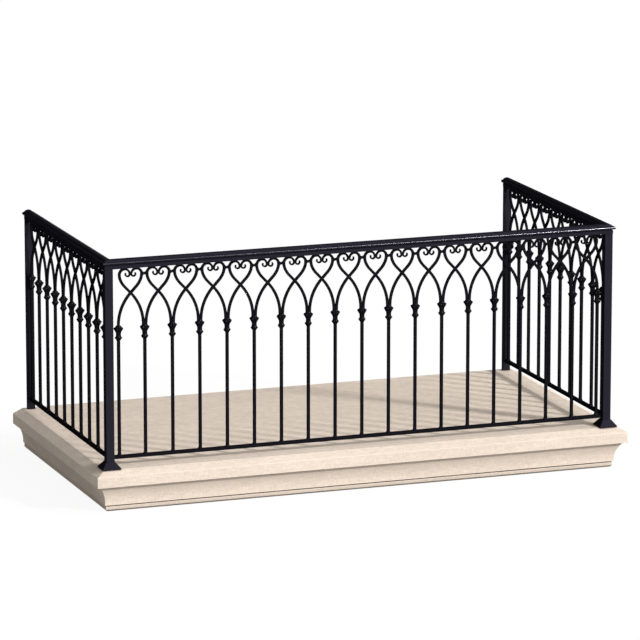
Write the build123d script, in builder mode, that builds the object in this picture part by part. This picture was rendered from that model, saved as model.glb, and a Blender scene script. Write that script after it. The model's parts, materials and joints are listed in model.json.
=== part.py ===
"""Wrought iron balcony railing on its moulded stone slab.

Millimetres. +X is to the right seen from outside, +Y is towards the wall, +Z is up.
The origin is under the middle of the slab, on its flat underside.
"""
import math
import os

from build123d import *

# Layout of the ironwork
PITCH = 136.0
FRONT_BAYS = 18
SIDE_BAYS = 9
FRONT_END_GAP = 43.5  # post axis to the regular place of the first baluster
SIDE_FRONT_GAP = 41.0
SIDE_BACK_GAP = 29.0
RAIL_UNDERSIDE = 957.0  # above the floor

# Posts and their shoes
POST = 40.0
BACK_POST_DEPTH = 20.0
SHOE_WIDTH = 92.0
SHOE_RIM = 4.0
SHOE_SLOPE_HEIGHT = 30.0
SHOE_TOP_WIDTH = 43.0

# Rails
BOTTOM_RAIL = 17.0
BOTTOM_RAIL_AXIS = 50.5  # above the floor
TOP_RAIL_WIDTH = 42.0
TOP_RAIL_HEIGHT = 18.0
NECK_WIDTH = 34.0
NECK_HEIGHT = 4.0
CAP_WIDTH = 62.0
NOSE_RADIUS = 7.0
QUIRK = 2.0  # flat step between the nose and the crown
CROWN_RISE = 11.0

# Balusters
BAR = 14.0
FLARE_WIDTH = 19.0
FLARE_HEIGHT = 7.0

# Cast collars: an upper and a lower calyx on one neck, as (height, corner radius)
COLLAR_SIDES = 6
COLLAR_LEVELS = ((0, 9.5), (14, 18.5), (22, 13.5), (38, 13.5), (58, 24.5), (71, 14.0))

# Arch bars: width in the plane of the panel, tapering along the scroll
ARCH_WIDTH = 13.0
LOBE_TOP_WIDTH = 11.5
LOBE_INNER_WIDTH = 8.5
CURL_WIDTH = 7.5
TIP_WIDTH = 6.0
LOBE_OVERLAP = 0.3  # the two lobes of a heart are welded together
SEAT_GAP = 0.05  # paint line between a heart and the rail above it

# Course of an arch bar, from its collar up to its curled tip; leans are degrees off vertical
CROSSING_LEAN = 43.5
STRAIGHT_RUN = 41.0
SHOULDER_RADIUS = 107.0
SHOULDER_LEAN = 22.0
FLANK_RADIUS = 69.0
LOBE_RADIUS = 25.8
CURL_RADIUS = 10.5
TIP_RADIUS = 7.5
TIP_TURN = 34.0

# Waisted links that tie neighbouring hearts together
LINK_END_HEIGHT = 19.0
LINK_WAIST_HEIGHT = 12.0
LINK_WAIST_SHARE = 0.35

# Stone slab, from its underside up; overhangs are outside the plane of the railing
BAND_HEIGHT = 25.0
BAND_OVERHANG = 28.0
BAND_CHAMFER = 8.0
GROOVE_HEIGHT = 5.0
GROOVE_OVERHANG = 22.0
LIP_HEIGHT = 5.0
LIP_OVERHANG = 34.0
COVE_HEIGHT = 94.0
COVE_SAG = 10.0
SOFFIT_OVERHANG = 70.0
FASCIA_OVERHANG = 85.0
SLAB_THICKNESS = 75.0
CHAMFER_RUN = 50.0
CHAMFER_DROP = 23.0
BACK_BEARING = 22.0  # the slab runs on behind the ironwork, into the wall

# Worked out
front_span = FRONT_BAYS * PITCH + 2 * FRONT_END_GAP
side_span = SIDE_FRONT_GAP + SIDE_BAYS * PITCH + SIDE_BACK_GAP
slab_width = front_span + 2 * FASCIA_OVERHANG
slab_depth = FASCIA_OVERHANG + side_span + BACK_POST_DEPTH / 2 + BACK_BEARING
side_x = front_span / 2
front_y = -slab_depth / 2 + FASCIA_OVERHANG
back_y = front_y + side_span
iron_end_y = back_y + BACK_POST_DEPTH / 2
wall_y = slab_depth / 2
mid_bay_y = front_y + SIDE_FRONT_GAP + SIDE_BAYS * PITCH / 2
lip_z = BAND_HEIGHT + GROOVE_HEIGHT
cove_z = lip_z + LIP_HEIGHT
slab_z = cove_z + COVE_HEIGHT
floor_z = slab_z + SLAB_THICKNESS
rail_z = floor_z + RAIL_UNDERSIDE
cap_z = rail_z + TOP_RAIL_HEIGHT + NECK_HEIGHT

os.makedirs("parts", exist_ok=True)


def keep(builder, name):
    """Label a finished piece and write it out."""
    builder.part.label = name
    export_step(builder.part, f"parts/{name}.step")


def panel_plane(side):
    """Upright plane of one side: local x runs along it, local y is height above the floor."""
    if side == "front":
        return Plane((0, front_y, floor_z), x_dir=(1, 0, 0), z_dir=(0, -1, 0))
    if side == "left":
        return Plane((-side_x, mid_bay_y, floor_z), x_dir=(0, -1, 0), z_dir=(-1, 0, 0))
    return Plane((side_x, mid_bay_y, floor_z), x_dir=(0, 1, 0), z_dir=(1, 0, 0))


def bays_of(side):
    return FRONT_BAYS if side == "front" else SIDE_BAYS


def bay_centres(side):
    bays = bays_of(side)
    return [(i - (bays - 1) / 2) * PITCH for i in range(bays)]


def baluster_offsets(side):
    """Distances along the side; an end baluster stands under its single arch bar."""
    bays = bays_of(side)
    offsets = [(i - bays / 2) * PITCH for i in range(bays + 1)]
    offsets[0] += ARCH_WIDTH / 2
    offsets[-1] -= ARCH_WIDTH / 2
    return offsets


def baluster_places(side):
    if side == "front":
        return [(u, front_y) for u in baluster_offsets(side)]
    x = -side_x if side == "left" else side_x
    return [(x, mid_bay_y + u) for u in baluster_offsets(side)]


# Stone slab


def stone_outline(overhang):
    """Size and centre of a course that stands this far outside the railing."""
    width = front_span + 2 * overhang
    front = front_y - overhang
    return width, wall_y - front, (0, (wall_y + front) / 2)


def course_side(edge, outwards):
    """Groove, lip and hollow on one side, drawn up from the groove's foot."""
    groove = edge + outwards * GROOVE_OVERHANG
    lip = edge + outwards * LIP_OVERHANG
    soffit = edge + outwards * SOFFIT_OVERHANG
    run, rise = SOFFIT_OVERHANG - LIP_OVERHANG, COVE_HEIGHT
    chord = math.hypot(run, rise)
    deepest = (
        (lip + soffit) / 2 - outwards * COVE_SAG * rise / chord,
        (cove_z + slab_z) / 2 + COVE_SAG * run / chord,
    )
    Polyline((groove, BAND_HEIGHT), (groove, lip_z), (lip, lip_z), (lip, cove_z))
    ThreePointArc((lip, cove_z), deepest, (soffit, slab_z))
    return (groove, BAND_HEIGHT), (soffit, slab_z)


with BuildPart() as base_band:
    width, depth, centre = stone_outline(BAND_OVERHANG)
    with BuildSketch(Plane.XY):
        with Locations(centre):
            Rectangle(width, depth)
    extrude(amount=BAND_HEIGHT)
    lower_edges = base_band.edges().group_by(Axis.Z)[0]
    chamfer(lower_edges.sort_by(Axis.Y)[:-1], BAND_CHAMFER)
keep(base_band, "base_band")

with BuildPart() as cove_moulding:
    with BuildSketch(Plane.XZ.offset(-wall_y)):
        with BuildLine():
            right_foot, right_top = course_side(front_span / 2, 1)
            left_foot, left_top = course_side(-front_span / 2, -1)
            Line(left_foot, right_foot)
            Line(left_top, right_top)
        make_face()
    extrude(amount=slab_depth)
    with BuildSketch(Plane.YZ):
        with BuildLine():
            foot, top = course_side(front_y, -1)
            Polyline(foot, (wall_y, BAND_HEIGHT), (wall_y, slab_z), top)
        make_face()
    extrude(amount=slab_width / 2, both=True, mode=Mode.INTERSECT)
keep(cove_moulding, "cove_moulding")

with BuildPart() as floor_slab:
    with BuildSketch(Plane.XY.offset(slab_z)):
        Rectangle(slab_width, slab_depth)
    extrude(amount=SLAB_THICKNESS - CHAMFER_DROP)
    with BuildSketch(Plane.XY.offset(floor_z - CHAMFER_DROP)):
        Rectangle(slab_width, slab_depth)
    with BuildSketch(Plane.XY.offset(floor_z)):
        with Locations((0, CHAMFER_RUN / 2)):
            Rectangle(slab_width - 2 * CHAMFER_RUN, slab_depth - CHAMFER_RUN)
    loft(ruled=True)
keep(floor_slab, "floor_slab")

# Posts: square at the free corners with pyramid shoes, half as deep against the wall

post_places = {
    "front_left": (-side_x, front_y),
    "front_right": (side_x, front_y),
    "back_left": (-side_x, back_y),
    "back_right": (side_x, back_y),
}

for corner, place in post_places.items():
    with BuildPart() as post:
        with BuildSketch(Plane.XY.offset(floor_z)):
            with Locations(place):
                Rectangle(POST, POST if corner.startswith("front") else BACK_POST_DEPTH)
        extrude(amount=RAIL_UNDERSIDE)
    keep(post, f"post_{corner}")


shoe_slope = math.atan2((SHOE_WIDTH - SHOE_TOP_WIDTH) / 2, SHOE_SLOPE_HEIGHT)
for corner in ("front_left", "front_right"):
    with BuildPart() as shoe:
        with BuildSketch(Plane.XY.offset(floor_z)):
            with Locations(post_places[corner]):
                Rectangle(SHOE_WIDTH, SHOE_WIDTH)
        extrude(amount=SHOE_RIM)
        with BuildSketch(Plane.XY.offset(floor_z + SHOE_RIM)):
            with Locations(post_places[corner]):
                Rectangle(SHOE_WIDTH, SHOE_WIDTH)
        extrude(amount=SHOE_SLOPE_HEIGHT, taper=math.degrees(shoe_slope))
        with BuildSketch(Plane.XY.offset(floor_z)):
            with Locations(post_places[corner]):
                Rectangle(POST, POST)
        extrude(amount=SHOE_RIM + SHOE_SLOPE_HEIGHT, mode=Mode.SUBTRACT)
    keep(shoe, f"shoe_{corner}")

# Rails

rail_front_y = front_y + POST / 2
rail_back_y = back_y - BACK_POST_DEPTH / 2
bottom_rails = {
    "front": ((0, front_y), front_span - POST, BOTTOM_RAIL),
    "left": ((-side_x, (rail_front_y + rail_back_y) / 2), BOTTOM_RAIL, rail_back_y - rail_front_y),
    "right": ((side_x, (rail_front_y + rail_back_y) / 2), BOTTOM_RAIL, rail_back_y - rail_front_y),
}
for side, (place, width, depth) in bottom_rails.items():
    with BuildPart() as bottom_rail:
        with BuildSketch(Plane.XY.offset(floor_z + BOTTOM_RAIL_AXIS)):
            with Locations(place):
                Rectangle(width, depth)
        extrude(amount=BOTTOM_RAIL / 2, both=True)
    keep(bottom_rail, f"bottom_rail_{side}")


def run_plane(side):
    """Plane across one run of the handrail: local x is outwards, local y is up."""
    if side == "front":
        return Plane((0, front_y, 0), x_dir=(0, -1, 0), z_dir=(-1, 0, 0))
    if side == "left":
        return Plane((-side_x, 0, 0), x_dir=(-1, 0, 0), z_dir=(0, 1, 0))
    return Plane((side_x, 0, 0), x_dir=(1, 0, 0), z_dir=(0, -1, 0))


def cut_to_length(side):
    """Mitre the run at the front corners and cut it flush with the back posts."""
    left_mitre = Plane((-side_x, front_y, 0), x_dir=(0, 0, 1), z_dir=(1, -1, 0))
    right_mitre = Plane((side_x, front_y, 0), x_dir=(0, 0, 1), z_dir=(-1, -1, 0))
    if side == "front":
        split(bisect_by=left_mitre, keep=Keep.TOP)
        split(bisect_by=right_mitre, keep=Keep.TOP)
    else:
        split(bisect_by=left_mitre if side == "left" else right_mitre, keep=Keep.BOTTOM)
        end = Plane((0, iron_end_y, 0), x_dir=(1, 0, 0), z_dir=(0, -1, 0))
        split(bisect_by=end, keep=Keep.TOP)


nose_x = CAP_WIDTH / 2 - NOSE_RADIUS
nose_top = cap_z + 2 * NOSE_RADIUS
crown_x = nose_x - QUIRK
crown_top = nose_top + CROWN_RISE
for side in ("front", "left", "right"):
    with BuildPart() as top_rail:
        with BuildSketch(run_plane(side)):
            with Locations((0, rail_z + TOP_RAIL_HEIGHT / 2)):
                Rectangle(TOP_RAIL_WIDTH, TOP_RAIL_HEIGHT)
        extrude(amount=slab_width, both=True)
        cut_to_length(side)
    keep(top_rail, f"top_rail_{side}")

    with BuildPart() as handrail:
        with BuildSketch(run_plane(side)):
            with BuildLine():
                Polyline(
                    (0, cap_z - NECK_HEIGHT),
                    (NECK_WIDTH / 2, cap_z - NECK_HEIGHT),
                    (NECK_WIDTH / 2, cap_z),
                    (nose_x, cap_z),
                )
                ThreePointArc(
                    (nose_x, cap_z), (CAP_WIDTH / 2, cap_z + NOSE_RADIUS), (nose_x, nose_top)
                )
                Line((nose_x, nose_top), (crown_x, nose_top))
                ThreePointArc(
                    (crown_x, nose_top),
                    (crown_x / 2, nose_top + CROWN_RISE * 0.75),
                    (0, crown_top),
                )
                mirror(about=Plane.YZ)
            make_face()
        extrude(amount=slab_width, both=True)
        cut_to_length(side)
    keep(handrail, f"handrail_{side}")

# Arch bars that cross and curl into hearts

arch_radius = (PITCH - ARCH_WIDTH) / 2 / (1 - math.cos(math.radians(CROSSING_LEAN)))


def turned(point, radius, start, end):
    """Point reached along a circle of this radius, from one lean to another."""
    a, b = math.radians(start), math.radians(end)
    sense = math.copysign(radius, end - start)
    x = point[0] + sense * (math.cos(b) - math.cos(a))
    return (x, point[1] + sense * (math.sin(b) - math.sin(a)))


def moved(point, length, lean):
    """Point reached straight ahead; lean is degrees off vertical, towards the bay's middle."""
    a = math.radians(lean)
    return (point[0] - length * math.sin(a), point[1] + length * math.cos(a))


def bar_stations(foot_z):
    """Centreline of the bar that rises from the right-hand collar of a bay.

    Returns (point, lean, width) down the bar. Each curve is (radius, chords, lean and
    width at its end), and past 0 degrees the bar has turned over into its lobe.
    """
    point = (PITCH / 2 - ARCH_WIDTH / 2, foot_z)
    stations = [(point, 0, ARCH_WIDTH)]

    def curve(radius, chords, end, width):
        point, start, first = stations[-1]
        for i in range(1, chords + 1):
            share = i / chords
            lean = start + (end - start) * share
            place = turned(point, radius, start, lean)
            stations.append((place, lean, first + (width - first) * share))

    curve(arch_radius, 3, CROSSING_LEAN, ARCH_WIDTH)
    point, lean, width = stations[-1]
    stations.append((moved(point, STRAIGHT_RUN, lean), lean, width))
    curve(SHOULDER_RADIUS, 1, SHOULDER_LEAN, ARCH_WIDTH)
    curve(FLANK_RADIUS, 1, 0, ARCH_WIDTH)
    curve(LOBE_RADIUS, 3, -90, LOBE_TOP_WIDTH)
    lobe_top_x = stations[-1][0][0]
    curve(LOBE_OVERLAP - LOBE_INNER_WIDTH / 2 - lobe_top_x, 2, -180, LOBE_INNER_WIDTH)
    curve(CURL_RADIUS, 3, -360, CURL_WIDTH)
    curve(TIP_RADIUS, 1, -360 - TIP_TURN, TIP_WIDTH)
    return stations


def beside(station, side):
    """Point on the right (1) or left (-1) edge of the bar at this station."""
    (x, z), lean, width = station
    a = math.radians(lean)
    return (x + side * width / 2 * math.cos(a), z + side * width / 2 * math.sin(a))


stations = bar_stations(0.0)
outline = [beside(s, 1) for s in stations] + [beside(s, -1) for s in reversed(stations)]
outermost_x, outermost_z = min(outline)
collar_top = RAIL_UNDERSIDE - SEAT_GAP - max(z for x, z in outline)
collar_base = collar_top - COLLAR_LEVELS[-1][0]

for side in ("front", "left", "right"):
    with BuildPart() as scrollwork:
        with BuildSketch(panel_plane(side)):
            for centre in bay_centres(side):
                for hand in (1, -1):
                    with BuildLine():
                        Polyline(
                            *[(centre + hand * x, collar_top + z) for x, z in outline], close=True
                        )
                    make_face()
        extrude(amount=BAR / 2, both=True)
    keep(scrollwork, f"scrollwork_{side}")

link_half = PITCH / 2 + outermost_x
link_quarter = link_half * LINK_WAIST_SHARE
link_corners = [
    (-link_half, LINK_END_HEIGHT / 2),
    (-link_quarter, LINK_WAIST_HEIGHT / 2),
    (link_quarter, LINK_WAIST_HEIGHT / 2),
    (link_half, LINK_END_HEIGHT / 2),
]
link_corners += [(x, -z) for x, z in reversed(link_corners)]
for side in ("front", "left", "right"):
    with BuildPart() as links:
        with BuildSketch(panel_plane(side)):
            with Locations(*[(u, collar_top + outermost_z) for u in baluster_offsets(side)[1:-1]]):
                Polygon(*link_corners, align=None)
        extrude(amount=BAR / 2, both=True)
    keep(links, f"heart_links_{side}")

# Balusters and their collars

baluster_foot = floor_z + BOTTOM_RAIL_AXIS + BOTTOM_RAIL / 2
flare_slope = math.atan2((FLARE_WIDTH - BAR) / 2, FLARE_HEIGHT)
for side in ("front", "left", "right"):
    with BuildPart() as balusters:
        with BuildSketch(Plane.XY.offset(baluster_foot)):
            with Locations(*baluster_places(side)):
                Rectangle(BAR, BAR)
        extrude(amount=floor_z + collar_base - baluster_foot)
        with BuildSketch(Plane.XY.offset(baluster_foot)):
            with Locations(*baluster_places(side)):
                Rectangle(FLARE_WIDTH, FLARE_WIDTH)
        extrude(amount=FLARE_HEIGHT, taper=math.degrees(flare_slope))
    keep(balusters, f"balusters_{side}")

# One collar is the overlap of its profile seen from each pair of opposite flats
corner_to_flat = math.cos(math.pi / COLLAR_SIDES)
collar_profile = [(radius * corner_to_flat, height) for height, radius in COLLAR_LEVELS]
collar_profile += [(-x, z) for x, z in reversed(collar_profile)]
with BuildPart() as collar:
    for i in range(COLLAR_SIDES // 2):
        with BuildSketch(Plane.XZ.rotated((0, 0, 360 / COLLAR_SIDES * i))):
            with BuildLine():
                Polyline(*collar_profile, close=True)
            make_face()
        extrude(amount=PITCH / 2, both=True, mode=Mode.INTERSECT if i else Mode.ADD)

for side in ("front", "left", "right"):
    with BuildPart() as collars:
        with Locations(*[(x, y, floor_z + collar_base) for x, y in baluster_places(side)]):
            add(collar.part)
    keep(collars, f"collars_{side}")
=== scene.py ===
# Looks of the wrought iron balcony railing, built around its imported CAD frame. Metres.
import json
import math

import bmesh
import bpy
from mathutils import Matrix, Vector

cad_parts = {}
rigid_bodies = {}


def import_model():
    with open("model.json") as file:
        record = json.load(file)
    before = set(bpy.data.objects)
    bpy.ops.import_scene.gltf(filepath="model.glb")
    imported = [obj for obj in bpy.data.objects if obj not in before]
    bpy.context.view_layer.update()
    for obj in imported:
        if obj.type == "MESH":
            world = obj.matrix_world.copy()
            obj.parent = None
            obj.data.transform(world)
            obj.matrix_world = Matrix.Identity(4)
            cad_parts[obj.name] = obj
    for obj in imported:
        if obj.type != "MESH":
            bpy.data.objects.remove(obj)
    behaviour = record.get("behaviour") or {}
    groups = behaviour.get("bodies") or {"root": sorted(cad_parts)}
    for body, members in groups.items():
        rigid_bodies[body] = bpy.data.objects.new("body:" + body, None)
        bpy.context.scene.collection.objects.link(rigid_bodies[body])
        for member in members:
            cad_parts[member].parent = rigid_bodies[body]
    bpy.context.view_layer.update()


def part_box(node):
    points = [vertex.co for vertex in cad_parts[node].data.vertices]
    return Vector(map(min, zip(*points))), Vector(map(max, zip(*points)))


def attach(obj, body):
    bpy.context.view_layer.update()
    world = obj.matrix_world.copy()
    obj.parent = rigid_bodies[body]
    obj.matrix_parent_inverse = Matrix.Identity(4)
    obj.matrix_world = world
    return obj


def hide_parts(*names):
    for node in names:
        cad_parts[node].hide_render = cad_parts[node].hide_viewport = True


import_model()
print("frame loaded")

# Places that several pieces share, read from the frame
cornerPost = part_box("post_front_left")
floorZ = cornerPost[0].z
railUnderside = cornerPost[1].z
sideX = -(cornerPost[0].x + cornerPost[1].x) / 2
frontY = (cornerPost[0].y + cornerPost[1].y) / 2
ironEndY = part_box("post_back_left")[1].y
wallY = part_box("floor_slab")[1].y
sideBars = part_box("balusters_left")
midBayY = (sideBars[0].y + sideBars[1].y) / 2

railing = {
    "pitch": 0.136,  # one baluster to the next
    "frontBays": 18,
    "sideBays": 9,
    "sides": {"front": 0.0, "left": -90.0, "right": 90.0},  # degrees about Z
    "barDepth": 0.0105,
    "barRelief": 0.0002,  # how much thinner the mirrored bar is where two cross
    "edge": 0.0011,  # rounding along the edges of the bars
    "edgeShare": 0.24,  # largest rounding, as a share of a bar's width
    "sharpAngle": 35.0,  # degrees; edges that turn further are drawn sharp
}


def panelMatrix(side):
    # local x runs along the panel, y points into the balcony, z is height over the floor
    origins = {
        "front": (0, frontY, floorZ),
        "left": (-sideX, midBayY, floorZ),
        "right": (sideX, midBayY, floorZ),
    }
    turn = Matrix.Rotation(math.radians(railing["sides"][side]), 4, "Z")
    return Matrix.Translation(origins[side]) @ turn


def baysOf(side):
    return railing["frontBays"] if side == "front" else railing["sideBays"]


def bayCentres(side):
    bays = baysOf(side)
    return [(i - (bays - 1) / 2) * railing["pitch"] for i in range(bays)]


# Materials


def newMaterial(name, settings):
    material = bpy.data.materials.new(name)
    material.use_nodes = True
    tree = material.node_tree
    shader = tree.nodes["Principled BSDF"]
    for socket, value in settings.items():
        shader.inputs[socket].default_value = value
    return material, tree, shader


def addNode(tree, kind, values=None, links=None, **props):
    # a node with its properties, fixed inputs and incoming links
    node = tree.nodes.new(kind)
    for name, value in props.items():
        setattr(node, name, value)
    for socket, value in (values or {}).items():
        node.inputs[socket].default_value = value
    for socket, source in (links or {}).items():
        tree.links.new(source, node.inputs[socket])
    return node


def placed(tree, coordinate, scale, rotation=(0, 0, 0)):
    mapping = addNode(
        tree,
        "ShaderNodeMapping",
        {"Scale": scale, "Rotation": [math.radians(a) for a in rotation]},
        {"Vector": coordinate},
    )
    return mapping.outputs["Vector"]


def noiseOf(tree, vector, scale, detail=4.0, roughness=0.55, distortion=0.0):
    noise = addNode(
        tree,
        "ShaderNodeTexNoise",
        {"Scale": scale, "Detail": detail, "Roughness": roughness, "Distortion": distortion},
        {"Vector": vector},
    )
    return noise.outputs["Fac"]


def ramp(tree, source, stops):
    node = addNode(tree, "ShaderNodeValToRGB", links={"Fac": source})
    while len(node.color_ramp.elements) < len(stops):
        node.color_ramp.elements.new(0.5)
    for element, (position, colour) in zip(node.color_ramp.elements, stops):
        element.position = position
        element.color = (*colour, 1)
    return node.outputs["Color"]


def grey(value):
    return (value, value, value)


def mixColour(tree, factor, a, b, blend="MIX"):
    node = addNode(tree, "ShaderNodeMix", data_type="RGBA", blend_type=blend)
    for socket, source in ((0, factor), (6, a), (7, b)):
        if isinstance(source, (int, float, tuple)):
            node.inputs[socket].default_value = source if socket == 0 else (*source, 1)
        else:
            tree.links.new(source, node.inputs[socket])
    return node.outputs[2]


def mapRange(tree, source, fromMin, fromMax, toMin, toMax):
    node = addNode(
        tree,
        "ShaderNodeMapRange",
        {"From Min": fromMin, "From Max": fromMax, "To Min": toMin, "To Max": toMax},
        {"Value": source},
    )
    return node.outputs["Result"]


def bump(tree, height, strength, distance):
    node = addNode(
        tree,
        "ShaderNodeBump",
        {"Strength": strength, "Distance": distance},
        {"Height": height},
    )
    return node.outputs["Normal"]


stoneLook = {
    "pale": (0.772, 0.661, 0.563),
    "warm": (0.722, 0.618, 0.525),
    "vein": (0.63, 0.54, 0.45),
    "pore": (0.56, 0.47, 0.39),
    "paintedEdgeHighlight": (0.82, 0.72, 0.62),  # painted highlight along the arrises
    "paintedShade": (0.20, 0.165, 0.135),  # painted shade in the hollows, grooves and under the overhangs
    "specular": 0.25,
    "roughness": (0.62, 0.82),
    "cloudScale": 2.6,  # scales are features a metre
    "cloudStretch": (1.0, 3.2, 4.0),
    "cloudAngle": 24.0,  # degrees, turned from the front
    "veinScale": 2.2,
    "veinStretch": (4.0, 20, 24),
    "veinAngle": -38.0,
    "veinDepth": 0.34,
    "grainScale": 260,
    "shades": (0.90, 1.06),  # darkest and palest grain and tooling
    "pitScale": 120,
    "pitStretch": (0.45, 1, 1.3),
    "pitDepth": 0.40,
    "tooling": ((28, 28, 190), (190, 190, 28)),  # fine marks along and across
    "paintedEdgeHighlightWidth": 0.004,
    "paintedEdgeHighlightDepth": 0.55,
    "paintedShadeReach": 0.035,
    "paintedShadeDepth": 0.85,
    "bump": 0.25,
    "bumpHeight": 0.0006,
}


def honedStone():
    look = stoneLook
    material, tree, shader = newMaterial(
        "honedLimestone", {"Specular IOR Level": look["specular"]}
    )
    coordinate = addNode(tree, "ShaderNodeTexCoord").outputs["Object"]
    bed = placed(tree, coordinate, look["cloudStretch"], (0, 0, look["cloudAngle"]))
    clouds = noiseOf(tree, bed, look["cloudScale"], 6, 0.6, 0.4)
    colour = ramp(tree, clouds, [(0.36, look["warm"]), (0.62, look["pale"])])
    turned = placed(tree, coordinate, look["veinStretch"], (0, 0, look["veinAngle"]))
    streaks = noiseOf(tree, turned, look["veinScale"], 5, 0.6, 0.6)
    veins = ramp(tree, streaks, [(0.50, grey(0.0)), (0.74, grey(look["veinDepth"]))])
    colour = mixColour(tree, veins, colour, look["vein"])
    dark, bright = (grey(shade) for shade in look["shades"])
    grain = noiseOf(tree, coordinate, look["grainScale"], 3, 0.6)
    speckle = ramp(tree, grain, [(0.30, dark), (0.72, bright)])
    colour = mixColour(tree, 1.0, colour, speckle, "MULTIPLY")
    pits = noiseOf(tree, placed(tree, coordinate, look["pitStretch"]), look["pitScale"], 3, 0.55)
    pores = ramp(tree, pits, [(0.66, grey(0.0)), (0.72, grey(look["pitDepth"]))])
    colour = mixColour(tree, pores, colour, look["pore"])
    for scale in look["tooling"]:
        marks = noiseOf(tree, placed(tree, coordinate, scale), 1.0, 3, 0.65)
        shade = ramp(tree, marks, [(0.30, dark), (0.70, bright)])
        colour = mixColour(tree, 1.0, colour, shade, "MULTIPLY")
    # painted highlight: the colour lightens towards the arris colour along the edges, where the
    # bevelled normal turns away from the flat one
    rounded = addNode(tree, "ShaderNodeBevel", {"Radius": look["paintedEdgeHighlightWidth"]}, samples=4)
    flat = addNode(tree, "ShaderNodeNewGeometry").outputs["Normal"]
    likeness = addNode(
        tree,
        "ShaderNodeVectorMath",
        links={0: rounded.outputs["Normal"], 1: flat},
        operation="DOT_PRODUCT",
    ).outputs["Value"]
    paintedEdgeHighlightFactor = mapRange(tree, likeness, 0.999, 0.985, 0.0, look["paintedEdgeHighlightDepth"])
    colour = mixColour(tree, paintedEdgeHighlightFactor, colour, look["paintedEdgeHighlight"])
    # painted shade: the colour darkens towards the crease colour where ambient occlusion finds
    # hollows, grooves and the space under overhangs
    openness = addNode(
        tree, "ShaderNodeAmbientOcclusion", {"Distance": look["paintedShadeReach"]}, samples=8
    ).outputs["AO"]
    paintedShadeFactor = mapRange(tree, openness, 0.82, 0.46, 0.0, look["paintedShadeDepth"])
    colour = mixColour(tree, paintedShadeFactor, colour, look["paintedShade"])
    tree.links.new(colour, shader.inputs["Base Color"])
    rough = mapRange(tree, grain, 0.3, 0.7, *look["roughness"])
    tree.links.new(rough, shader.inputs["Roughness"])
    height = addNode(
        tree,
        "ShaderNodeMath",
        links={0: grain, 1: pores},
        operation="SUBTRACT",
    ).outputs["Value"]
    normal = bump(tree, height, look["bump"], look["bumpHeight"])
    tree.links.new(normal, shader.inputs["Normal"])
    return material


ironLook = {
    "stout": (0.0205, 0.0196, 0.0285),  # posts, shoes and upper rails
    "thin": (0.0080, 0.0078, 0.0110),  # bars, scrolls and lower rails
    "wear": 1.4,  # how much brighter the paint is where it is rubbed
    "wearScale": 9,  # scales are features a metre
    "wearDepth": 0.5,
    "metallic": 0.5,
    "stoutRoughness": 0.14,
    "thinRoughness": 0.27,
    "roughnessSpread": (-0.01, 0.03),
    "brushScale": 55,
    "brushStretch": (1, 1, 0.35),
    "forgeScale": 95,
    "forgeBump": 0.12,
    "forgeHeight": 0.0008,
}


def blackIron(name, paint, rough):
    # the black tint keeps the paint from turning pale at a grazing view
    look = ironLook
    material, tree, shader = newMaterial(
        name,
        {
            "Metallic": look["metallic"],
            "Specular IOR Level": 0.0,
            "Specular Tint": (0, 0, 0, 1),
        },
    )
    coordinate = addNode(tree, "ShaderNodeTexCoord").outputs["Object"]
    brushed = placed(tree, coordinate, look["brushStretch"])
    brush = noiseOf(tree, brushed, look["brushScale"], 4, 0.6)
    patches = noiseOf(tree, coordinate, look["wearScale"], 5, 0.6)
    wear = ramp(tree, patches, [(0.55, grey(0.0)), (0.78, grey(look["wearDepth"]))])
    colour = mixColour(tree, wear, paint, tuple(c * look["wear"] for c in paint))
    tree.links.new(colour, shader.inputs["Base Color"])
    smoothest, roughest = (rough + spread for spread in look["roughnessSpread"])
    roughness = mapRange(tree, brush, 0.3, 0.7, smoothest, roughest)
    tree.links.new(roughness, shader.inputs["Roughness"])
    forge = noiseOf(tree, coordinate, look["forgeScale"], 3, 0.5)
    normal = bump(tree, forge, look["forgeBump"], look["forgeHeight"])
    tree.links.new(normal, shader.inputs["Normal"])
    return material


stone = honedStone()
iron = blackIron("blackIron", ironLook["stout"], ironLook["stoutRoughness"])
barIron = blackIron("blackBarIron", ironLook["thin"], ironLook["thinRoughness"])
print("materials made")

# Mesh helpers


def finishPiece(name, bm, material, nodes, sharp=railing["sharpAngle"]):
    bmesh.ops.recalc_face_normals(bm, faces=bm.faces)
    mesh = bpy.data.meshes.new(name)
    bm.to_mesh(mesh)
    bm.free()
    for polygon in mesh.polygons:
        polygon.use_smooth = True
    mesh.set_sharp_from_angle(angle=math.radians(sharp))
    mesh.materials.append(material)
    piece = bpy.data.objects.new(name, mesh)
    bpy.context.scene.collection.objects.link(piece)
    weighted = piece.modifiers.new("weightedNormals", "WEIGHTED_NORMAL")
    weighted.keep_sharp = True
    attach(piece, "root")
    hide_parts(*nodes)
    return piece


def addRings(bm, rings):
    # a tube through rings of equal length, closed at both ends
    made = [[bm.verts.new(point) for point in ring] for ring in rings]
    for lower, upper in zip(made, made[1:]):
        count = len(lower)
        for i in range(count):
            j = (i + 1) % count
            bm.faces.new((lower[i], lower[j], upper[j], upper[i]))
    bm.faces.new(list(reversed(made[0])))
    bm.faces.new(made[-1])


def roundedSection(width, depth, edge, steps=2):
    # corner-rounded rectangle, counter-clockwise, as (across, through)
    points = []
    for signX, signY, start in ((1, 1, 0), (-1, 1, 90), (-1, -1, 180), (1, -1, 270)):
        cx, cy = signX * (width / 2 - edge), signY * (depth / 2 - edge)
        for i in range(steps + 1):
            a = math.radians(start + 90 * i / steps)
            points.append((cx + edge * math.cos(a), cy + edge * math.sin(a)))
    return points


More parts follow.
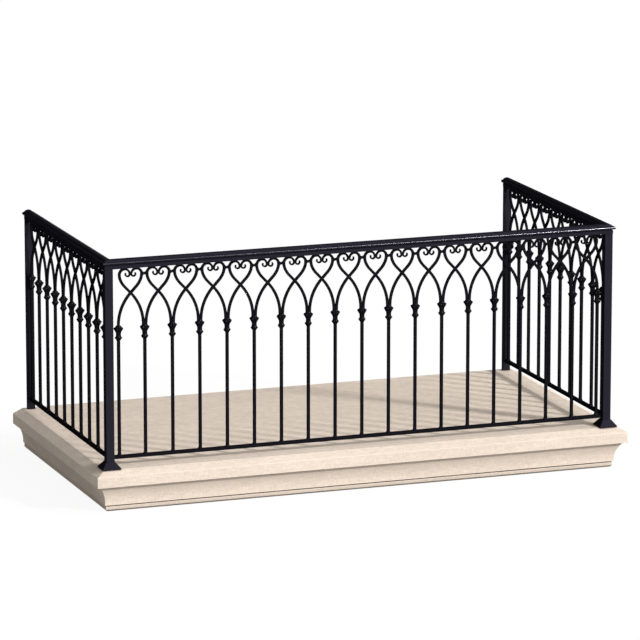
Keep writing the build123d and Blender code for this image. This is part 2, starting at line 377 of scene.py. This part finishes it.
def addBar(bm, matrix, stations):
    # a flat-sided bar; a station is (x, z, lean in degrees, width, depth)
    rings = []
    for x, z, lean, width, depth in stations:
        a = math.radians(lean)
        edge = min(railing["edge"], width * railing["edgeShare"])
        ring = []
        for across, through in roundedSection(width, depth, edge):
            local = Vector((x + across * math.cos(a), through, z + across * math.sin(a)))
            ring.append(matrix @ local)
        rings.append(ring)
    addRings(bm, rings)


def softenEdges(piece, width, segments, angle):
    # a bevel on the edges that turn further than an angle, ahead of the weighted normals
    soften = piece.modifiers.new("softEdges", "BEVEL")
    soften.width = width
    soften.segments = segments
    soften.limit_method = "ANGLE"
    soften.angle_limit = math.radians(angle)
    piece.modifiers.move(1, 0)


def addBlock(bm, low, high, edge):
    # an upright rectangular bar between two corners, with rounded long edges
    centre = [(a + b) / 2 for a, b in zip(low, high)]
    size = [b - a for a, b in zip(low, high)]
    cube = bmesh.ops.create_cube(bm, size=1.0)
    bmesh.ops.scale(bm, vec=size, verts=cube["verts"])
    bmesh.ops.translate(bm, vec=centre, verts=cube["verts"])
    edges = {e for v in cube["verts"] for e in v.link_edges}
    bmesh.ops.bevel(
        bm, geom=list(edges), offset=edge, segments=2, profile=0.6, affect="EDGES"
    )


def runPoint(leg, offset, z, endY):
    # corner of the three-sided run around the balcony, at an offset outside the railing
    x = sideX + offset
    front = frontY - offset
    return ((-x, endY, z), (-x, front, z), (x, front, z), (x, endY, z))[leg]


# Stone slab

stoneSizes = {
    "edge": 0.0016,
    "edgeSteps": 3,
    "sharpAngle": 18.0,  # degrees; sharper arrises are softened
    "floorOffset": 0.035,
    "fasciaOffset": 0.085,
    "chamferDrop": 0.023,
    "soffitOffset": 0.070,
    "lipOffset": 0.034,
    "lipHeight": 0.005,
    "coveSag": 0.010,
    "coveSteps": 14,
    "grooveOffset": 0.022,
    "grooveHeight": 0.005,
    "bandOffset": 0.028,
    "bandChamfer": 0.008,
}
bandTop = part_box("base_band")[1].z
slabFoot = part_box("floor_slab")[0].z


def arcBetween(start, end, sag, steps):
    # points of a circular arc that bulges by sag to the left of start-end
    (x0, z0), (x1, z1) = start, end
    chord = math.hypot(x1 - x0, z1 - z0)
    radius = (chord * chord / 4 + sag * sag) / (2 * sag)
    ux, uz = (x1 - x0) / chord, (z1 - z0) / chord
    nx, nz = -uz, ux
    cx = (x0 + x1) / 2 + nx * (sag - radius)
    cz = (z0 + z1) / 2 + nz * (sag - radius)
    half = math.asin(chord / 2 / radius)
    points = []
    for i in range(steps + 1):
        a = -half + 2 * half * i / steps
        along, out = radius * math.sin(a), radius * math.cos(a)
        points.append((cx + ux * along + nx * out, cz + uz * along + nz * out))
    return points


def stoneCourse(name, node, profile):
    # profile runs down the outside from the top, as (offset outside the railing, z)
    bm = bmesh.new()
    rows = [[bm.verts.new(runPoint(leg, o, z, wallY)) for leg in range(4)] for o, z in profile]
    for upper, lower in zip(rows, rows[1:]):
        for leg in range(3):
            bm.faces.new((upper[leg], lower[leg], lower[leg + 1], upper[leg + 1]))
    bm.faces.new(rows[0])
    bm.faces.new(list(reversed(rows[-1])))
    bm.faces.new([row[0] for row in rows] + [row[3] for row in reversed(rows)])
    piece = finishPiece(name, bm, stone, [node], stoneSizes["sharpAngle"])
    softenEdges(piece, stoneSizes["edge"], stoneSizes["edgeSteps"], stoneSizes["sharpAngle"])


s = stoneSizes
stoneCourse(
    "floorSlab",
    "floor_slab",
    [
        (s["floorOffset"], floorZ),
        (s["fasciaOffset"], floorZ - s["chamferDrop"]),
        (s["fasciaOffset"], slabFoot),
    ],
)
grooveTop = bandTop + s["grooveHeight"]
coveFoot = grooveTop + s["lipHeight"]
hollow = arcBetween(
    (s["soffitOffset"], slabFoot), (s["lipOffset"], coveFoot), -s["coveSag"], s["coveSteps"]
)
stoneCourse(
    "coveMoulding",
    "cove_moulding",
    hollow
    + [
        (s["lipOffset"], grooveTop),
        (s["grooveOffset"], grooveTop),
        (s["grooveOffset"], bandTop),
    ],
)
stoneCourse(
    "baseBand",
    "base_band",
    [
        (s["bandOffset"], bandTop),
        (s["bandOffset"], s["bandChamfer"]),
        (s["bandOffset"] - s["bandChamfer"], 0.0),
    ],
)
print("stone made")

# Posts and shoes

postSizes = {
    "edge": 0.0018,
    "shoeWidth": 0.092,
    "shoeRim": 0.004,
    "shoeTop": 0.043,
    "shoeEdge": 0.003,
    "shoeBevel": 0.0015,
}
for corner in ("front_left", "front_right", "back_left", "back_right"):
    low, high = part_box("post_" + corner)
    bm = bmesh.new()
    addBlock(bm, low, high, postSizes["edge"])
    name = "post" + "".join(word.title() for word in corner.split("_"))
    finishPiece(name, bm, iron, ["post_" + corner])


def squareRing(centre, width, z, edge):
    return [
        Vector((centre.x + x, centre.y + y, z)) for x, y in roundedSection(width, width, edge)
    ]


p = postSizes
for corner in ("left", "right"):
    low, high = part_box("shoe_front_" + corner)
    centre = (low + high) / 2
    rim = low.z + p["shoeRim"]
    bevel = p["shoeBevel"]
    bm = bmesh.new()
    addRings(
        bm,
        [
            squareRing(centre, p["shoeWidth"], low.z, p["shoeEdge"]),
            squareRing(centre, p["shoeWidth"], rim, p["shoeEdge"]),
            squareRing(centre, p["shoeWidth"] - 2 * bevel, rim + bevel, p["shoeEdge"]),
            squareRing(centre, p["shoeTop"], high.z, bevel),
        ],
    )
    finishPiece("shoe" + corner.title(), bm, iron, ["shoe_front_" + corner])
print("posts made")

# Rails

railSizes = {
    "edge": 0.0012,
    "edgeSteps": 2,
    "edgeAngle": 50.0,  # degrees; sharper edges are softened
    "sharpAngle": 32.0,
    "topWidth": 0.042,
    "topHeight": 0.018,
    "neckWidth": 0.034,
    "neckHeight": 0.004,
    "capWidth": 0.062,
    "noseRadius": 0.007,
    "quirk": 0.002,
    "crownRise": 0.011,
    "noseSteps": 12,
    "crownSteps": 16,
}


def ironRun(name, section, nodes, edge=None):
    # section is a closed outline of (offset, z), run round the three sides with mitres
    bm = bmesh.new()
    addRings(bm, [[runPoint(leg, o, z, ironEndY) for o, z in section] for leg in range(4)])
    piece = finishPiece(name, bm, iron, nodes, railSizes["sharpAngle"])
    if edge:
        softenEdges(piece, edge, railSizes["edgeSteps"], railSizes["edgeAngle"])


def rectangle(width, low, high):
    return [(-width / 2, low), (width / 2, low), (width / 2, high), (-width / 2, high)]


sides = ("front", "left", "right")
for side in sides:
    low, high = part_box("bottom_rail_" + side)
    bm = bmesh.new()
    addBlock(bm, low, high, railSizes["edge"])
    finishPiece("bottomRail" + side.title(), bm, barIron, ["bottom_rail_" + side])

r = railSizes
ironRun(
    "topRail",
    rectangle(r["topWidth"], railUnderside, railUnderside + r["topHeight"]),
    ["top_rail_" + side for side in sides],
    r["edge"],
)
capZ = railUnderside + r["topHeight"] + r["neckHeight"]
noseX = r["capWidth"] / 2 - r["noseRadius"]
noseTop = capZ + 2 * r["noseRadius"]
crownX = noseX - r["quirk"]
rightHalf = [(r["neckWidth"] / 2, capZ - r["neckHeight"]), (r["neckWidth"] / 2, capZ)]
for i in range(r["noseSteps"] + 1):
    a = math.radians(-90 + 180 * i / r["noseSteps"])
    rightHalf.append(
        (noseX + r["noseRadius"] * math.cos(a), capZ + r["noseRadius"] * (1 + math.sin(a)))
    )
rightHalf.append((crownX, noseTop))
crown = arcBetween(
    (-crownX, noseTop), (crownX, noseTop), r["crownRise"], r["crownSteps"]
)
section = rightHalf + list(reversed(crown))[1:-1] + [(-o, z) for o, z in reversed(rightHalf)]
ironRun("handrail", section, ["handrail_" + side for side in sides])
print("rails made")

# Scrollwork

scroll = {
    "archWidth": 0.013,
    "lobeTopWidth": 0.0115,
    "lobeInnerWidth": 0.0085,
    "curlWidth": 0.0075,
    "tipWidth": 0.0060,
    "crossingLean": 43.5,
    "straightRun": 0.041,
    "shoulderRadius": 0.107,
    "shoulderLean": 22.0,
    "flankRadius": 0.069,
    "lobeRadius": 0.0258,
    "lobeOverlap": 0.0003,
    "curlRadius": 0.0105,
    "tipRadius": 0.0075,
    "tipTurn": 34.0,
    "tipSteps": 5,
    "tipBlunt": 0.3,  # leaves a small flat on the rounded end
    "seatGap": 0.00005,
    "stepLength": 0.0035,
    "stepAngle": 9,  # degrees
}


def scrollCourse():
    # centreline of the bar that rises from the right-hand collar: x, z, lean, width
    stations = [[railing["pitch"] / 2 - scroll["archWidth"] / 2, 0.0, 0.0, scroll["archWidth"]]]

    def curve(radius, end, width):
        x, z, start, first = stations[-1]
        turn = math.radians(abs(end - start))
        steps = max(
            int(turn * radius / scroll["stepLength"]),
            round(math.degrees(turn) / scroll["stepAngle"]),
        )
        sense = math.copysign(radius, end - start)
        a = math.radians(start)
        for i in range(1, steps + 1):
            share = i / steps
            lean = start + (end - start) * share
            b = math.radians(lean)
            stations.append(
                [
                    x + sense * (math.cos(b) - math.cos(a)),
                    z + sense * (math.sin(b) - math.sin(a)),
                    lean,
                    first + (width - first) * share,
                ]
            )

    lean = scroll["crossingLean"]
    spread = 1 - math.cos(math.radians(lean))
    curve((railing["pitch"] - scroll["archWidth"]) / 2 / spread, lean, scroll["archWidth"])
    x, z, lean, width = stations[-1]
    run = scroll["straightRun"]
    a = math.radians(lean)
    stations.append([x - run * math.sin(a), z + run * math.cos(a), lean, width])
    curve(scroll["shoulderRadius"], scroll["shoulderLean"], scroll["archWidth"])
    curve(scroll["flankRadius"], 0, scroll["archWidth"])
    curve(scroll["lobeRadius"], -90, scroll["lobeTopWidth"])
    innerX = scroll["lobeOverlap"] - scroll["lobeInnerWidth"] / 2
    curve(innerX - stations[-1][0], -180, scroll["lobeInnerWidth"])
    curve(scroll["curlRadius"], -360, scroll["curlWidth"])
    curve(scroll["tipRadius"], -360 - scroll["tipTurn"], scroll["tipWidth"])
    x, z, lean, width = stations[-1]
    a = math.radians(lean)
    for i in range(1, scroll["tipSteps"] + 1):  # rounded end
        b = math.pi / 2 * i / (scroll["tipSteps"] + scroll["tipBlunt"])
        run = width / 2 * math.sin(b)
        stations.append(
            [x - run * math.sin(a), z + run * math.cos(a), lean, width * math.cos(b)]
        )
    return stations


course = scrollCourse()
heartTop = max(
    z + abs(math.sin(math.radians(lean))) * width / 2 for x, z, lean, width in course
)
collarTop = railUnderside - floorZ - scroll["seatGap"] - heartTop
outermost = min(course, key=lambda station: station[0])
mirror = [(-x, z, -lean, width) for x, z, lean, width in course]

for side in sides:
    matrix = panelMatrix(side)
    bm = bmesh.new()
    for centre in bayCentres(side):
        for bar, depth in (
            (course, railing["barDepth"]),
            (mirror, railing["barDepth"] - railing["barRelief"]),
        ):
            addBar(
                bm,
                matrix,
                [(centre + x, collarTop + z, lean, width, depth) for x, z, lean, width in bar],
            )
    finishPiece("scrollwork" + side.title(), bm, barIron, ["scrollwork_" + side])
print("scrollwork made")

# Links between the hearts

linkSizes = {
    "endHeight": 0.019,
    "waistHeight": 0.0115,
    "depth": 0.0100,
    "flare": 2.4,  # how late the waist widens
    "seam": 0.0006,  # how far the ends reach into the hearts
    "steps": 10,
}


def balusterOffsets(side):
    bays = baysOf(side)
    offsets = [(i - bays / 2) * railing["pitch"] for i in range(bays + 1)]
    offsets[0] += scroll["archWidth"] / 2  # an end baluster carries a single bar
    offsets[-1] -= scroll["archWidth"] / 2
    return offsets


linkHalf = railing["pitch"] / 2 + outermost[0] - scroll["archWidth"] / 2 + linkSizes["seam"]
linkZ = collarTop + outermost[1]
linkFlare = linkSizes["endHeight"] - linkSizes["waistHeight"]
for side in sides:
    matrix = panelMatrix(side)
    bm = bmesh.new()
    for offset in balusterOffsets(side)[1:-1]:
        stations = []
        for i in range(linkSizes["steps"] + 1):
            t = 2 * i / linkSizes["steps"] - 1
            height = linkSizes["waistHeight"] + linkFlare * abs(t) ** linkSizes["flare"]
            stations.append((offset + t * linkHalf, linkZ, -90.0, height, linkSizes["depth"]))
        addBar(bm, matrix, stations)
    finishPiece("heartLinks" + side.title(), bm, barIron, ["heart_links_" + side])
print("links made")

# Balusters and collars

balusterSizes = {
    "width": 0.014,
    # height over the foot, width
    "foot": ((0.0, 0.019), (0.0012, 0.019), (0.0038, 0.0160), (0.007, 0.014)),
}
collarSizes = {
    "height": 0.071,
    "petals": 8,
    "petalRound": 0.8,
    "segments": 48,
    "sharpAngle": 50.0,
    # height from the foot, radius between the petals, radius along them
    "levels": (
        (0.0000, 0.0086, 0.0088),
        (0.0030, 0.0102, 0.0106),
        (0.0080, 0.0134, 0.0142),
        (0.0118, 0.0156, 0.0170),
        (0.0142, 0.0162, 0.0184),
        (0.0156, 0.0150, 0.0180),
        (0.0172, 0.0134, 0.0152),
        (0.0200, 0.0126, 0.0134),
        (0.0260, 0.0119, 0.0122),
        (0.0320, 0.0118, 0.0121),
        (0.0380, 0.0124, 0.0129),
        (0.0430, 0.0142, 0.0152),
        (0.0480, 0.0167, 0.0182),
        (0.0530, 0.0192, 0.0214),
        (0.0565, 0.0204, 0.0234),
        (0.0585, 0.0202, 0.0242),
        (0.0600, 0.0188, 0.0234),
        (0.0620, 0.0168, 0.0198),
        (0.0655, 0.0144, 0.0156),
        (0.0690, 0.0132, 0.0138),
        (0.0710, 0.0124, 0.0128),
    ),
}
balusterFoot = sideBars[0].z - floorZ
collarBase = collarTop - collarSizes["height"]


def addCollar(bm, matrix, offset):
    rings = []
    count = collarSizes["segments"]
    for height, valley, petal in collarSizes["levels"]:
        ring = []
        for i in range(count):
            a = 2 * math.pi * i / count
            lobe = abs(math.cos(a * collarSizes["petals"] / 2)) ** collarSizes["petalRound"]
            radius = valley + (petal - valley) * lobe
            x, y = radius * math.cos(a), radius * math.sin(a)
            ring.append(matrix @ Vector((offset + x, y, collarBase + height)))
        rings.append(ring)
    addRings(bm, rings)


balusterProfile = [
    *balusterSizes["foot"],
    (collarBase - balusterFoot, balusterSizes["width"]),
]
for side in sides:
    matrix = panelMatrix(side)
    bm = bmesh.new()
    for offset in balusterOffsets(side):
        addBar(
            bm,
            matrix,
            [(offset, balusterFoot + z, 0.0, width, width) for z, width in balusterProfile],
        )
    finishPiece("balusters" + side.title(), bm, barIron, ["balusters_" + side])
    bm = bmesh.new()
    for offset in balusterOffsets(side):
        addCollar(bm, matrix, offset)
    finishPiece(
        "collars" + side.title(),
        bm,
        barIron,
        ["collars_" + side],
        collarSizes["sharpAngle"],
    )
print("balusters and collars made")

# Studio

studio = {
    "floorSize": 90.0,
    "floorColour": (0.37, 0.37, 0.37),
    "floorGlow": 0.92,  # share of the floor that the camera sees as plain white
    "world": (0.378, 0.380, 0.372),
    # direction towards the lamp, strength, angle across in degrees, colour
    "sun": ((0.620, -0.666, 0.415), 3.80, 6.0, (1.0, 0.985, 0.975)),
    "fill": ((0.800, -0.220, 0.560), 1.15, 60.0, (1.0, 0.985, 0.955)),
    "glint": ((0.422, -0.790, 0.470), 12.5, 1.6, (1.0, 1.0, 0.78)),
    "glinting": ("handrail", "collars"),  # pieces that the last lamp lights
}


def cameraSees(tree):
    # 1 for camera, mirror and glass rays
    paths = addNode(tree, "ShaderNodeLightPath")
    total = paths.outputs["Is Camera Ray"]
    for name in ("Is Glossy Ray", "Is Transmission Ray"):
        total = addNode(
            tree,
            "ShaderNodeMath",
            links={0: total, 1: paths.outputs[name]},
            operation="MAXIMUM",
        ).outputs["Value"]
    return total


def studioFloor():
    material = bpy.data.materials.new("studioFloor")
    material.use_nodes = True
    tree = material.node_tree
    tree.nodes.clear()
    matt = addNode(tree, "ShaderNodeBsdfDiffuse", {"Color": (*studio["floorColour"], 1)})
    bright = addNode(tree, "ShaderNodeBsdfDiffuse", {"Color": (1, 1, 1, 1)})
    white = addNode(tree, "ShaderNodeEmission", {"Color": (1, 1, 1, 1), "Strength": 1.0})
    seen = addNode(
        tree,
        "ShaderNodeMixShader",
        {"Fac": studio["floorGlow"]},
        {1: bright.outputs[0], 2: white.outputs[0]},
    )
    both = addNode(
        tree,
        "ShaderNodeMixShader",
        links={"Fac": cameraSees(tree), 1: matt.outputs[0], 2: seen.outputs[0]},
    )
    addNode(tree, "ShaderNodeOutputMaterial", links={"Surface": both.outputs[0]})
    return material


bm = bmesh.new()
bmesh.ops.create_grid(bm, x_segments=1, y_segments=1, size=studio["floorSize"] / 2)
floorMesh = bpy.data.meshes.new("studioFloor")
bm.to_mesh(floorMesh)
bm.free()
floorMesh.materials.append(studioFloor())
floor = bpy.data.objects.new("studioFloor", floorMesh)
bpy.context.scene.collection.objects.link(floor)

world = bpy.data.worlds.new("studioWorld")
bpy.context.scene.world = world
world.use_nodes = True
tree = world.node_tree
background = tree.nodes["Background"]
background.inputs["Strength"].default_value = 1.0
tree.links.new(
    mixColour(tree, cameraSees(tree), studio["world"], (1.0, 1.0, 1.0)),
    background.inputs["Color"],
)

for lamp in ("sun", "fill", "glint"):
    towards, strength, angle, colour = studio[lamp]
    lampData = bpy.data.lights.new(lamp, "SUN")
    lampData.energy = strength
    lampData.angle = math.radians(angle)
    lampData.color = colour
    lampObject = bpy.data.objects.new(lamp, lampData)
    lampObject.rotation_euler = (-Vector(towards)).to_track_quat("-Z", "Y").to_euler()
    bpy.context.scene.collection.objects.link(lampObject)

# the last lamp is only seen reflected, as a glint
lampObject.visible_diffuse = False
glinting = bpy.data.collections.new("glinting")
for piece in bpy.context.scene.objects:
    if piece.name.startswith(studio["glinting"]):
        glinting.objects.link(piece)
lampObject.light_linking.receiver_collection = glinting

# camera at the photograph's place
cameraView = {
    "place": (-7.929, -21.357, 5.564),  # from the middle of the front railing's foot
    "tilt": 0.2137,  # radians down
    "yaw": 0.3467,  # radians to the right
    "lens": 274.84,  # millimetres, on the sensor's width
    "sensor": 36.0,
    "reach": 200.0,
}
cameraData = bpy.data.cameras.new("photoView")
cameraData.sensor_width = cameraView["sensor"]
cameraData.lens = cameraView["lens"]
cameraData.clip_end = cameraView["reach"]
camera = bpy.data.objects.new("photoView", cameraData)
camera.location = Vector(cameraView["place"]) + Vector((0, frontY, floorZ))
camera.rotation_euler = (math.pi / 2 - cameraView["tilt"], 0, -cameraView["yaw"])
bpy.context.scene.collection.objects.link(camera)
bpy.context.scene.camera = camera
bpy.context.scene.view_settings.view_transform = "Standard"
print("studio made")
